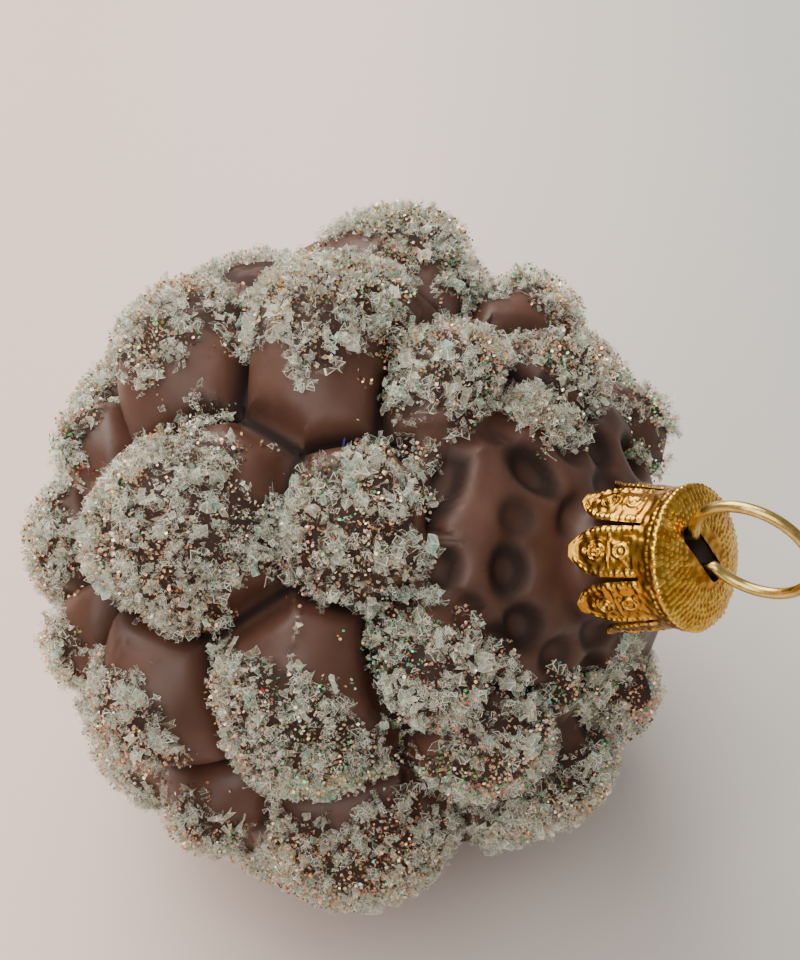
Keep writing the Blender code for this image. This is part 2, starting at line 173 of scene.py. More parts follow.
def ramp(nodes, stops):  # a colour ramp from (place, colour) pairs
    made = nodes.new("ShaderNodeValToRGB")
    points = made.color_ramp.elements
    while len(points) < len(stops):
        points.new(0.5)
    for point, (place, colour) in zip(points, stops):
        point.position = place
        point.color = (*colour, 1)
    return made


def mixColours(nodes, links, share, first, second):  # each may be a socket or a fixed value
    made = addNode(nodes, "ShaderNodeMix", {"data_type": "RGBA"})
    for number, value in ((0, share), (6, first), (7, second)):
        if isinstance(value, bpy.types.NodeSocket):
            links.new(value, made.inputs[number])
        else:
            made.inputs[number].default_value = value if number == 0 else (*value, 1)
    return made.outputs[2]


# the glass body

glass = {
    "floorRadius": 28.7 * mm,      # the bottom of the grooves at the waist
    "axisShare": 0.91,             # how far it is drawn in at the neck and the tip
    "edgeRise": 1.5 * mm,          # the steep side of a scale beside its groove
    "edgeWidth": 0.38 * mm,
    "fineEdgeWidth": 0.5 * mm,     # the finished groove has a flat floor and rounded shoulders
    "rimHeight": 0.13 * mm,        # a slight swell along the edge of each plate
    "rimPlace": 1.15 * mm,
    "rimWidth": 0.42 * mm,
    "tipRise": 5.7 * mm,
    "tipPower": 1.8,
    "fineTipPower": 2.2,
    "softness": 7,                 # how sharply the nearest neighbour wins; lower rounds the plates more
    "lowNearCrown": 0.25,
    "lowNearTip": 0.35,
    "scaleReach": math.radians(14.5),
    "grooveScale": 7.6 * mm,       # turns the share of the way from a groove into a distance
    "crownReach": math.radians(33),
    "crownRise": 1.4 * mm,
    "crownPower": 3,
    "crownFill": 2.6 * mm,
    "crownFillFrom": 58,
    "crownFillTo": 30,
    "ledgeOpen": 0.62 * mm,        # half the width of a groove that has a ledge along its floor
    "ledgeHeight": 0.45 * mm,
    "ledgeWidth": 0.24 * mm,
    "unevenness": 0.1 * mm,
    "crownSwell": 0.14 * mm,
    "neckFoot": 6.2 * mm,
    "dentShade": 0.92,
    # how much paler the crown's ridges are painted, a painted sheen
    "paintedRidgeSheen": 0.25,
    "crustShade": 0.72,
    "fineBand": 0.75 * mm,         # faces this near a groove are divided once more
    "seed": 5,
}
full, part = 0.9, 0.66            # how far a crust reaches, as a share of the way to the groove
scales = (                         # polar angle from the neck, turn about the axis, size, reach of its crust
    (40, 33, 0.82, full), (38, 65, 0.86, full), (48, 104, 1.00, full), (29, 123, 0.56, full),
    (52, 142, 0.66, full), (43, 181, 0.78, full), (42, 220, 0.76, part), (35, 266, 0.70, full),
    (45, 306, 0.84, full), (50, 353, 0.84, full), (64, 31, 1.16, full), (75, 69, 1.14, full),
    (73, 129, 0.92, full), (70, 174, 1.05, part), (68, 216, 1.05, full), (55, 257, 0.92, part),
    (74, 273, 1.06, part), (67, 309, 1.24, part), (81, 355, 1.16, full), (93, 28, 1.05, part),
    (92, 50, 0.80, part), (111, 91, 0.95, full), (94, 141, 0.86, full), (101, 169, 1.05, full),
    (100, 203, 1.05, part), (98, 238, 1.05, full), (94, 321, 1.10, part), (114, 17, 0.76, part),
    (124, 357, 0.84, full), (112, 338, 0.70, part), (131, 58, 1.00, part), (131, 109, 1.05, full),
    (130, 149, 1.05, full), (130, 190, 1.00, full), (129, 232, 1.05, part), (125, 278, 1.05, full),
    (136, 315, 0.96, full), (154, 350, 0.95, full), (157, 80, 0.98, full), (157, 170, 0.98, part),
    (156, 255, 0.98, full),
)
dents = (                          # polar angle, turn, half width across, half length down, depth
    (11.6, -38, 4.5, 3.0, 0.6), (9.5, 53, 4.5, 3.0, 0.6), (13.4, 84, 4.5, 3.5, 0.7), (12.5, -100, 4.5, 3.5, 0.6),
    (12.0, 140, 4.5, 3.5, 0.6), (12.0, -155, 4.5, 3.5, 0.6), (21.5, -44, 4.0, 6.5, 1.3),
    (20.4, -73, 4.0, 4.0, 0.7), (20.0, -99, 4.5, 4.5, 1.2), (24.0, -130, 4.5, 4.5, 1.2),
    (22.0, -160, 4.5, 4.5, 1.1), (22.0, -18, 3.5, 4.0, 0.6), (22.5, 6, 5.0, 4.2, 1.4), (22.0, 34.5, 5.0, 4.2, 1.4),
    (20.0, 60, 4.0, 4.0, 0.8), (21.0, 92, 4.5, 4.5, 1.0), (21.0, 170, 4.5, 4.5, 1.1), (35.0, -26, 5.5, 5.0, 1.5),
    (35.0, 3, 5.0, 3.8, 1.3), (31.0, 19, 4.0, 3.5, 0.7), (32.0, -48, 4.0, 3.5, 0.7), (31.0, 98, 4.5, 4.0, 0.9),
    (31.5, -152, 4.5, 4.0, 1.0), (30.5, 176, 4.5, 4.0, 0.9),
)
finishedDents = {(35.0, -26, 5.5, 5.0, 1.5): (35.5, -24, 7.8, 3.4, 1.5)}   # drawn longer on the finished skin
ledges = {(18, 19): 1.0, (11, 19): 1.0, (1, 11): 1.0, (10, 18): 0.0, (18, 27): 0.0}   # grooves seen with a ledge, or without

crownNumber = len(scales)
siteAims = np.array([upright(polar, turn) for polar, turn, _, _ in scales] + [(0, 0, 1)])
siteSizes = np.array([size for _, _, size, _ in scales] + [1])
siteReaches = siteSizes * glass["scaleReach"]
siteReaches[crownNumber] = glass["crownReach"]
siteCover = np.array([reach for _, _, _, reach in scales] + [0])


def ledgeTable():
    made = np.random.default_rng(glass["seed"]).uniform(0, 1, (crownNumber + 1, crownNumber + 1))
    made = smoothStep(0.45, 0.75, (made + made.T) / 2)
    for (one, other), amount in ledges.items():
        made[one - 1, other - 1] = made[other - 1, one - 1] = amount
    return made


ledgeAmounts = ledgeTable()


def softShare(aims, first):  # the share of the way from the grooves, rounded over where two of them are equally near
    away = np.arccos(np.clip(aims @ siteAims.T, -1, 1)) / siteReaches
    own = np.take_along_axis(away, first[:, None], 1)[:, 0]
    np.put_along_axis(away, first[:, None], 99, 1)
    other = -np.log(np.exp(-glass["softness"] * away).sum(1)) / glass["softness"]
    return np.maximum(0, (other - own) / (other + own))


def nearestScales(aims):
    away = np.arccos(np.clip(aims @ siteAims.T, -1, 1)) / siteReaches
    order = np.argpartition(away, 1, axis=1)[:, :2]
    picked = np.take_along_axis(away, order, 1)
    swapped = picked[:, 0] > picked[:, 1]
    order[swapped] = order[swapped][:, ::-1]
    picked[swapped] = picked[swapped][:, ::-1]
    share = (picked[:, 1] - picked[:, 0]) / (picked[:, 1] + picked[:, 0])
    return order[:, 0], order[:, 1], share


def dentShares(aims, fine):  # how far out in each dent a direction is, and the depth of the dent
    polar = np.degrees(np.arccos(np.clip(aims[:, 2], -1, 1)))
    turn = np.degrees(np.arctan2(aims[:, 1], aims[:, 0]))
    for dent in dents:
        dentPolar, dentTurn, halfWidth, halfLength, deep = finishedDents.get(dent, dent) if fine else dent
        off = (turn - dentTurn + 180) % 360 - 180
        across = off * math.sin(math.radians(dentPolar)) / halfWidth
        yield np.hypot(across, (polar - dentPolar) / halfLength), deep


def dentDepth(aims, fine=False):
    depth = np.zeros(len(aims))
    for out, deep in dentShares(aims, fine):
        depth += deep * mm * (1.5 * np.exp(-1.5 * out**3) if fine else np.exp(-2 * out**2))
    return depth


def dentShade(aims):  # painted shade and painted dark reflection round the wall of each dent, fainter in its middle
    shade = np.zeros(len(aims))
    for out, deep in dentShares(aims, True):
        ring = np.exp(-(((out - 0.72) / 0.34) ** 2)) + 0.45 * np.exp(-((out / 0.6) ** 2))
        shade = np.maximum(shade, min(1, 0.35 + 0.55 * deep) * np.minimum(1, ring))
    return shade


def skinRadius(aims, fine=True):  # how far the skin is from the middle, the nearest scale, distance from its groove
    first, second, share = nearestScales(aims)
    polar = np.degrees(np.arccos(np.clip(aims[:, 2], -1, 1)))
    fill = smoothStep(0, 1, (glass["crownFillFrom"] - polar) / (glass["crownFillFrom"] - glass["crownFillTo"]))
    radius = glass["floorRadius"] / np.hypot(np.hypot(aims[:, 0], aims[:, 1]), aims[:, 2] / glass["axisShare"])
    radius += glass["crownFill"] * fill
    soft = softShare(aims, first) if fine else share
    heights = siteAims[first, 2]
    low = 1 - glass["lowNearCrown"] * np.maximum(0, heights) - glass["lowNearTip"] * np.maximum(0, -heights)
    tip = glass["tipRise"] * low * (1 + siteSizes[first]) / 2 * (1 - (1 - soft) ** glass["fineTipPower" if fine else "tipPower"])
    crown = glass["crownRise"] * (1 - (1 - soft) ** glass["crownPower"]) - dentDepth(aims, fine)
    radius += np.where(first == crownNumber, crown, tip)
    gap = share * glass["grooveScale"]
    if fine:
        fade = smoothStep(-0.9, -0.1, waves(aims, 0.3, 11))
        opened = ledgeAmounts[first, second] * fade
        beyond = np.maximum(0, gap - opened * glass["ledgeOpen"])
        radius += opened * glass["ledgeHeight"] * np.exp(-((gap / glass["ledgeWidth"]) ** 2))
        calm = smoothStep(0.3, 1.6, gap / mm)
        radius += glass["unevenness"] * calm * waves(aims, 0.16, 3)
        radius += 0.4 * glass["unevenness"] * calm * waves(aims, 0.07, 4)
        onCrown = (first == crownNumber) * smoothStep(13, 18, polar)
        radius += glass["crownSwell"] * calm * onCrown * waves(aims, 0.1, 12)
        radius += glass["rimHeight"] * np.exp(-(((beyond - glass["rimPlace"]) / glass["rimWidth"]) ** 2))
        radius += glass["edgeRise"] * (1 - np.exp(-((beyond / glass["fineEdgeWidth"]) ** 2)))
    else:
        radius += glass["edgeRise"] * (1 - np.exp(-gap / glass["edgeWidth"]))
    return radius, first, gap


def ontoGroove(aims, first, second):  # slide directions sideways until both scales are equally near
    for _ in range(3):
        slopes, away = [], []
        for index in (first, second):
            cosine = np.clip((aims * siteAims[index]).sum(1), -1, 1)
            angle = np.arccos(cosine)
            toward = siteAims[index] - aims * cosine[:, None]
            slopes.append(-toward / np.maximum(np.sin(angle), 1e-6)[:, None] / siteReaches[index][:, None])
            away.append(angle / siteReaches[index])
        slope = slopes[1] - slopes[0]
        steps = (away[1] - away[0]) / (slope**2).sum(1)
        aims = aims - slope * steps[:, None]
        aims /= np.linalg.norm(aims, axis=1)[:, None]
    return aims


def settleSkin(piece, outer):  # put the outer corners of the glass back on its skin
    places = toUpright(corners(piece))
    aims = places[outer] / np.linalg.norm(places[outer], axis=1)[:, None]
    first, second, share = nearestScales(aims)
    close = share * glass["grooveScale"] < 0.1 * mm
    aims[close] = ontoGroove(aims[close], first[close], second[close])
    radius, first, gap = skinRadius(aims)
    places[outer] = aims * radius[:, None]
    moveCorners(piece, toFrame(places))
    return first, gap


def glassBody():
    mesh = frame["nodes"]["glass_body"].data.copy()
    piece = bpy.data.objects.new("brown_glass_cone", mesh)
    bpy.context.scene.collection.objects.link(piece)
    onlyActive(piece)
    bpy.ops.object.mode_set(mode="EDIT")
    bpy.ops.mesh.select_all(action="SELECT")
    bpy.ops.mesh.remove_doubles(threshold=0.005 * mm)
    bpy.ops.object.mode_set(mode="OBJECT")
    places = toUpright(corners(piece))
    away = np.linalg.norm(places, axis=1)
    aims = places / away[:, None]
    radius, _, _ = skinRadius(aims, fine=False)
    footPolar = math.asin(glass["neckFoot"] / (glass["floorRadius"] * glass["axisShare"] + 2.9 * mm))
    outer = (np.abs(away - radius) < 0.03 * mm) & (aims[:, 2] < math.cos(footPolar - 0.01))
    chosen = outer[triangleCorners(piece)].all(1)
    selectFaces(piece, chosen)
    bpy.ops.object.mode_set(mode="EDIT")
    bpy.ops.mesh.subdivide(number_cuts=1)
    bpy.ops.mesh.subdivide(number_cuts=1)
    bpy.ops.object.mode_set(mode="OBJECT")
    outer = np.zeros(len(piece.data.vertices), bool)
    for face in piece.data.polygons:
        if face.select:
            outer[list(face.vertices)] = True
    _, gap = settleSkin(piece, outer)
    distance = np.full(len(outer), 1.0)
    distance[outer] = gap
    near = [
        face.select and min(distance[corner] for corner in face.vertices) < glass["fineBand"]
        for face in piece.data.polygons
    ]
    selectFaces(piece, near)
    before = len(outer)
    bpy.ops.object.mode_set(mode="EDIT")
    bpy.ops.mesh.subdivide(number_cuts=1)
    bpy.ops.mesh.select_all(action="SELECT")
    bpy.ops.mesh.quads_convert_to_tris()
    bpy.ops.object.mode_set(mode="OBJECT")
    outer = np.concatenate([outer, np.ones(len(piece.data.vertices) - before, bool)])
    _, gap = settleSkin(piece, outer)
    # painted shade: the lacquer is drawn near black along the floor of each groove
    dark = np.zeros(len(outer), np.float32)
    dark[outer] = np.exp(-((gap / (0.46 * mm)) ** 4))
    places = toUpright(corners(piece)[outer])
    aims = places / np.linalg.norm(places, axis=1)[:, None]
    onCrown = nearestScales(aims)[0] == crownNumber
    # painted shade and painted dark reflection in the crown's dents
    paintedDentShade = onCrown * dentShade(aims)
    # painted sheen: the crown's ridges between the dents are drawn paler
    sheenOnRidges = onCrown * smoothStep(0.4, 0.05, paintedDentShade) * smoothStep(0.6, 1.8, gap / mm)
    dark[outer] = np.maximum(dark[outer], paintedDentShade * glass["dentShade"]) - glass["paintedRidgeSheen"] * sheenOnRidges
    for index in range(crownNumber):                        # glue and shadow under the crusts
        covered, within = inCrust(index, aims)
        dark[outer] = np.maximum(dark[outer], glass["crustShade"] * smoothStep(0, 0.09, within))
    # the groove attribute carries all the painted shade on the glass (grooves, dents, under the crusts), and below 0
    # the painted sheen on the crown's ridges
    layer = piece.data.attributes.new("groove", "FLOAT", "POINT")
    layer.data.foreach_set("value", dark)
    piece.data.shade_smooth()
    piece.data.materials.clear()
    piece.data.materials.append(brownLacquer())
    print("glass body:", len(piece.data.polygons), "triangles")
    return keep(piece, "glass_body")


def brownLacquer():
    made, nodes, links, shader = newFinish("satin chocolate lacquer")
    place = addNode(nodes, "ShaderNodeTexCoord")
    patches = addNode(nodes, "ShaderNodeTexNoise", None, {"Scale": 160, "Detail": 3, "Roughness": 0.55})
    links.new(place.outputs["Object"], patches.inputs["Vector"])
    chocolate = ramp(nodes, ((0.3, (0.066, 0.026, 0.015)), (0.55, (0.087, 0.037, 0.023)), (0.75, (0.110, 0.047, 0.029))))
    links.new(patches.outputs["Fac"], chocolate.inputs["Fac"])
    # the groove attribute brings in the painted shade, and below 0 the painted sheen on the crown's ridges
    groove = addNode(nodes, "ShaderNodeAttribute", {"attribute_name": "groove"})
    ridge = addNode(nodes, "ShaderNodeMapRange", None, {"From Max": -glass["paintedRidgeSheen"]})
    links.new(groove.outputs["Fac"], ridge.inputs["Value"])
    # painted sheen: the crown's ridges are mixed toward a pale grey brown
    lacquer = mixColours(nodes, links, ridge.outputs["Result"], chocolate.outputs["Color"], (0.28, 0.16, 0.125))
    # painted shade: near black in the grooves, round the dents and under the crusts
    colour = mixColours(nodes, links, groove.outputs["Fac"], lacquer, (0.012, 0.004, 0.002))
    links.new(colour, shader.inputs["Base Color"])
    satin = addNode(nodes, "ShaderNodeMapRange", None, {"To Min": 0.36, "To Max": 0.52})
    links.new(patches.outputs["Fac"], satin.inputs["Value"])
    dulled = addNode(nodes, "ShaderNodeMath", {"operation": "MULTIPLY_ADD"}, {1: 0.45})
    links.new(groove.outputs["Fac"], dulled.inputs[0])
    links.new(satin.outputs["Result"], dulled.inputs[2])
    links.new(dulled.outputs[0], shader.inputs["Roughness"])
    grain = addNode(nodes, "ShaderNodeTexNoise", None, {"Scale": 2600, "Detail": 2})
    links.new(place.outputs["Object"], grain.inputs["Vector"])
    shader.inputs["Specular IOR Level"].default_value = 0.34
    bump = addNode(nodes, "ShaderNodeBump", None, {"Strength": 0.25, "Distance": 0.05 * mm})
    links.new(grain.outputs["Fac"], bump.inputs["Height"])
    links.new(bump.outputs["Normal"], shader.inputs["Normal"])
    return made


# the glitter crusts

crust = {
    "filmsPerArea": 3.3,           # to the square millimetre
    "chipsPerArea": 7.5,
    "dotsPerArea": 10.0,
    "clusters": 6,
    "strays": 8,                   # single grains on the glass beside each crust
    "filmWidth": (0.55, 2.0),
    "filmHeight": (0.45, 1.3),
    "chipSize": (0.2, 0.6),
    "tallest": 2.1,
    "dotRadius": (0.115, 0.195),
    "filmShapes": 16,
    "chipShapes": 10,
    "creaseShare": 0.6,
    "cloud": ((0, 0.02), (0.6, 0.1), (0.8, 0.36), (1, 0.7)),   # how much of what is behind a film it hides
    "seed": 21,
}
dotColours = (                     # gold, copper, rose, cream, green, teal, dark red, brown
    (1.0, 0.70, 0.34), (0.96, 0.46, 0.26), (1.0, 0.58, 0.46), (1.0, 0.95, 0.76), (0.18, 0.74, 0.30),
    (0.12, 0.62, 0.50), (0.42, 0.05, 0.03), (0.30, 0.17, 0.09),
)
dotShares = (0.25, 0.22, 0.10, 0.18, 0.07, 0.04, 0.02, 0.12)
slivers = (                        # scale, polar angle, turn, half width, half length, colour
    (10, 55, 334, 0.16, 0.70, (0.22, 0.17, 0.90)), (3, 63, 62, 0.16, 0.22, (0.70, 0.02, 0.02)),
)
spills = (                         # scale, polar angle, turn, radius in degrees, where its crust runs on over its edge
    (10, 62, 358, 5.5), (19, 64, 354, 5.5), (10, 44, 12, 5.0), (2, 36, 56, 4.5), (11, 60, 14, 3.5), (11, 63, 20, 4.5),
    (16, 25, 296, 4.2), (16, 30, 294, 4.0), (18, 81, 306, 6.5), (18, 77, 318, 5.0), (19, 81, 336, 6.0),
    (9, 50, 292, 5.0), (9, 55, 308, 4.5), (20, 100, 20, 4.0), (1, 45, 22, 4.5), (17, 62, 272, 7.5), (17, 67, 278, 6.0), (18, 76, 292, 5.5), (18, 80, 298, 5.5), (18, 69, 300, 5.0), (17, 65, 291, 6.0),
    (17, 69, 285, 5.0), (27, 88, 312, 7.0), (27, 97, 310, 7.0), (27, 90, 316, 4.0), (27, 86, 318, 4.5),
    (10, 38, -15, 3.2), (10, 37.5, 1, 3.2), (1, 36, 12, 3.0), (1, 32, 22, 3.2), (2, 29, 38, 3.5), (2, 29, 50, 3.5),
    (3, 25, 72, 4.0), (3, 24, 98, 4.5), (4, 20, 121, 4.5), (9, 41, -28, 3.0), (9, 46, -39, 3.5), (16, 38, -53, 4.0),
    (16, 33, -61, 4.0), (8, 29, -66, 4.5), (8, 24, -78, 4.5), (7, 34, -107, 4.0), (7, 36, -125, 4.0),
    (7, 30, -138, 4.0), (6, 36, -157, 4.0),
)


bares = (                          # the same, where a scale shows its lacquer inside the reach of its crust
    (19, 71, 336, 5.6), (19, 67, 342, 4.6), (19, 74, 332, 4.0), (19, 67, 8, 4.6), (11, 66, 11, 5.4),
    (11, 52, 19, 6.4), (11, 56, 14, 3.4), (11, 50, 28, 4.0),
)


def modelFlake(number, columns, rows, crumple):  # one crumpled scrap of film, about 1 wide and 1 high, foot at 0
    bpy.ops.object.select_all(action="DESELECT")
    bpy.ops.mesh.primitive_grid_add(x_subdivisions=columns, y_subdivisions=rows, size=1, location=(0, 0.5, 0))
    piece = bpy.context.active_object
    bpy.ops.object.transform_apply(location=True)
    bpy.ops.object.mode_set(mode="EDIT")
    bpy.ops.mesh.select_all(action="SELECT")
    bpy.ops.transform.vertex_random(offset=crumple, uniform=1, normal=0, seed=number)
    bpy.ops.mesh.quads_convert_to_tris(quad_method="LONGEST_DIAGONAL" if number % 2 else "SHORTEST_DIAGONAL")
    bpy.ops.object.mode_set(mode="OBJECT")
    places, faces = corners(piece), triangleCorners(piece)
    mesh = piece.data
    bpy.data.objects.remove(piece)
    bpy.data.meshes.remove(mesh)
    dice = np.random.default_rng(number)
    places[:, 2] += crumple * dice.normal(size=len(places))
    tally = {}
    for face in faces:
        for one, other in ((0, 1), (1, 2), (2, 0)):
            edge = frozenset((face[one], face[other]))
            tally[edge] = tally.get(edge, 0) + 1
    # the edges chosen here are drawn as painted highlight lines by the film's finish
    drawn = {edge: count == 1 or dice.random() < crust["creaseShare"] for edge, count in tally.items()}
    lines = np.ones((len(faces), 3, 3), np.float32)
    for row, face in enumerate(faces):
        for opposite in range(3):
            one, other = (opposite + 1) % 3, (opposite + 2) % 3
            if drawn[frozenset((face[one], face[other]))]:
                lines[row, one, opposite] = lines[row, other, opposite] = 0
    return places, faces, lines


def scatter(index, perArea, dice, spread=1.25):  # directions at random round a scale's middle, evenly over it
    return scatterRound(siteAims[index], siteReaches[index] * spread, perArea, dice)


def scatterRound(aim, reach, perArea, dice):
    area = math.tau * (1 - math.cos(reach)) * (32 * 32)
    count = int(area * perArea)
    lift = 1 - dice.random(count) * (1 - math.cos(reach))
    turn = dice.uniform(0, math.tau, count)
    side = np.cross(aim, (0.3, 0.5, 0.8))
    side /= np.linalg.norm(side)
    other = np.cross(aim, side)
    out = np.sqrt(1 - lift**2)
    return (
        aim * lift[:, None]
        + side * (out * np.cos(turn))[:, None]
        + other * (out * np.sin(turn))[:, None]
    )


def seatsOn(aims):  # places on the skin and the way out of it there, in the frame
    side = np.cross(aims, (0.31, -0.52, 0.8))
    side /= np.linalg.norm(side, axis=1)[:, None]
    other = np.cross(aims, side)
    step = 0.012
    spots = []
    for offset in (0, side * step, other * step):
        ways = aims + offset
        ways /= np.linalg.norm(ways, axis=1)[:, None]
        spots.append(ways * skinRadius(ways)[0][:, None])
    normals = np.cross(spots[1] - spots[0], spots[2] - spots[0])
    normals /= np.linalg.norm(normals, axis=1)[:, None]
    normals *= np.sign((normals * aims).sum(1))[:, None]
    return toFrame(spots[0]), normals @ turningRows.T


def inCrust(index, aims, margin=0.09):
    first, _, share = nearestScales(aims)
    ragged = waves(aims, 0.1, 60 + index) * margin + waves(aims, 0.035, 160 + index) * margin * 0.7
    within = np.where(first == index, share + ragged - (1 - siteCover[index]), -1)
    for scale, polar, turn, size in spills:
        if scale == index + 1:
            off = np.degrees(np.arccos(np.clip(aims @ upright(polar, turn), -1, 1))) / size
            within = np.maximum(within, 0.35 * (1 - off) + ragged)
    for scale, polar, turn, size in bares:
        if scale == index + 1:
            off = np.degrees(np.arccos(np.clip(aims @ upright(polar, turn), -1, 1))) / size
            within = np.minimum(within, 0.35 * (off - 1) + ragged)
    return within > 0, within


def spreadShapes(shapes, seats, normals, widths, heights, leans, lifts, dice):
    # stand copies of the modelled shapes on their seats, each turned its own way
    places, faces, lines, tints = [], [], [], []
    start = 0
    which = dice.integers(0, len(shapes), len(seats))
    turn = dice.uniform(0, math.tau, len(seats))
    side = np.cross(normals, (0.21, 0.43, -0.88))
    side /= np.linalg.norm(side, axis=1)[:, None]
    other = np.cross(normals, side)
    across = side * np.cos(turn)[:, None] + other * np.sin(turn)[:, None]
    behind = np.cross(normals, across)
    up = normals * np.cos(leans)[:, None] + behind * np.sin(leans)[:, None]
    facing = np.cross(across, up)
    tint = dice.random(len(seats))
    for number, (shape, triangles, drawn) in enumerate(shapes):
        mine = np.nonzero(which == number)[0]
        if not len(mine):
            continue
        spots = (
            (seats + normals * lifts[:, None])[mine, None]
            + across[mine, None] * (shape[None, :, :1] * widths[mine, None, None])
            + up[mine, None] * (shape[None, :, 1:2] * heights[mine, None, None])
            + facing[mine, None] * (shape[None, :, 2:] * heights[mine, None, None])
        )
        places.append(spots.reshape(-1, 3))
        offsets = start + np.arange(len(mine)) * len(shape)
        faces.append((triangles[None] + offsets[:, None, None]).reshape(-1, 3))
        lines.append(np.tile(drawn, (len(mine), 1, 1)).reshape(-1, 3))
        tints.append(np.repeat(tint[mine], len(triangles)))
        start += len(mine) * len(shape)
    return np.concatenate(places), np.concatenate(faces), np.concatenate(lines), np.concatenate(tints)


def dotShape():  # one flat six-sided grain
    bpy.ops.object.select_all(action="DESELECT")
    bpy.ops.mesh.primitive_circle_add(vertices=6, radius=1, fill_type="NGON")
    piece = bpy.context.active_object
    bpy.ops.object.mode_set(mode="EDIT")
    bpy.ops.mesh.quads_convert_to_tris(ngon_method="BEAUTY")
    bpy.ops.object.mode_set(mode="OBJECT")
    places, faces = corners(piece), triangleCorners(piece)
    mesh = piece.data
    bpy.data.objects.remove(piece)
    bpy.data.meshes.remove(mesh)
    return places[:, (0, 2, 1)], faces, np.ones((len(faces), 3, 3), np.float32)


def scatterAll(index, perArea, dice):  # over the scale and over the spills of its crust
    found = [scatter(index, perArea, dice)]
    mine = nearestScales(found[0])[0] == index
    found[0] = found[0][mine]
    for scale, polar, turn, size in spills:
        if scale == index + 1:
            aims = scatterRound(upright(polar, turn), math.radians(1.25 * size), perArea, dice)
            found.append(aims[nearestScales(aims)[0] != index])
    return np.concatenate(found)


def makeCrust(index, films, chips, dot):
    dice = np.random.default_rng(crust["seed"] + index)
    groups = []
    for kind in ("film", "chip"):
        aims = scatterAll(index, crust[kind + "sPerArea"], dice)
        inside, within = inCrust(index, aims)
        rate = 0.7 + 0.3 * waves(aims, 0.1, 300 + index) + 0.95 * waves(aims, 0.036, 400 + index)
        rate -= 0.3 * smoothStep(0.1, 0.5, within) * (0.6 + waves(aims, 0.1, 500 + index))
        wanted = inside & (dice.random(len(aims)) < np.clip(rate, 0.05, 1))
        aims, within = aims[wanted], within[wanted]
        seats, normals = seatsOn(aims)
        count = len(aims)
        thin = 0.55 + 0.45 * smoothStep(0, 0.12, within)
        if kind == "film":
            standing = dice.random(count) < 0.45
            leans = np.where(standing, dice.normal(0.3, 0.3, count), dice.normal(1.05, 0.3, count))
            low, high = crust["filmWidth"]
            widths = (low + (high - low) * dice.random(count) ** 1.4 * (1.15 - 0.5 * smoothStep(0, 0.3, within))) * mm
            heights = dice.uniform(*crust["filmHeight"], count) * thin * mm
            lifts = dice.uniform(-0.1, 0.75, count) * thin * mm
            shapes = films
        else:
            leans = dice.uniform(0, 1.4, count)
            widths = dice.uniform(*crust["chipSize"], count) * mm
            heights = widths * dice.uniform(0.7, 1.6, count)
            lifts = dice.uniform(0, 1.25, count) * thin * mm
            shapes = chips
        tall = lifts + heights * np.cos(leans)
        lifts -= np.maximum(0, tall - crust["tallest"] * mm)
        groups.append(spreadShapes(shapes, seats, normals, widths, heights, leans, lifts, dice))
    aims = scatterAll(index, crust["dotsPerArea"], dice)
    _, within = inCrust(index, aims)
    rate = 0.5 + 0.7 * waves(aims, 0.1, 500 + index) + 0.45 * smoothStep(0.05, 0.4, within)
    rate -= 0.45 * waves(aims, 0.036, 400 + index)          # mostly where there is little film
    aims = aims[dice.random(len(aims)) < np.clip(rate, 0.1, 1)]
    middles = scatter(index, 1, dice, 0.8)[: crust["clusters"]]
    for middle in middles:
        huddle = middle + dice.normal(0, 0.035, (26, 3))
        aims = np.concatenate([aims, huddle / np.linalg.norm(huddle, axis=1)[:, None]])
    inside, within = inCrust(index, aims, 0.14)
    strays = scatter(index, 1, dice, 0.85)[: crust["strays"]]
    marks = [sliver for sliver in slivers if sliver[0] == index + 1]
    aims = np.concatenate([aims[inside], strays, *[[upright(*mark[1:3])] for mark in marks]])
    inside, within = np.full(len(aims), True), inCrust(index, aims)[1]
    seats, normals = seatsOn(aims)
    count = len(aims)
    radii = dice.uniform(*crust["dotRadius"], count) * mm
    widths, heights = radii.copy(), radii.copy()
    for number, mark in enumerate(reversed(marks)):
        widths[-1 - number], heights[-1 - number] = mark[3] * mm, mark[4] * mm
    lifts = dice.uniform(0.05, 1.0, count) ** 1.3 * (0.5 + smoothStep(0, 0.2, within[inside])) * mm
    dots = spreadShapes([dot], seats, normals, widths, heights, dice.normal(math.pi / 2, 0.5, count), lifts, dice)
    near = np.argmin(((aims[:, None] - middles[None]) ** 2).sum(2), axis=1)
    kinds = dice.choice(len(dotColours), (len(middles), 3), p=dotShares)
    picked = np.where(dice.random(count) < 0.6, kinds[near, dice.integers(0, 3, count)],
                      dice.choice(len(dotColours), count, p=dotShares))
    colours = np.array(dotColours)[picked] * dice.uniform(0.65, 1.0, (count, 1))
    for number, mark in enumerate(reversed(marks)):
        colours[-1 - number] = mark[5]
    return groups, dots, colours


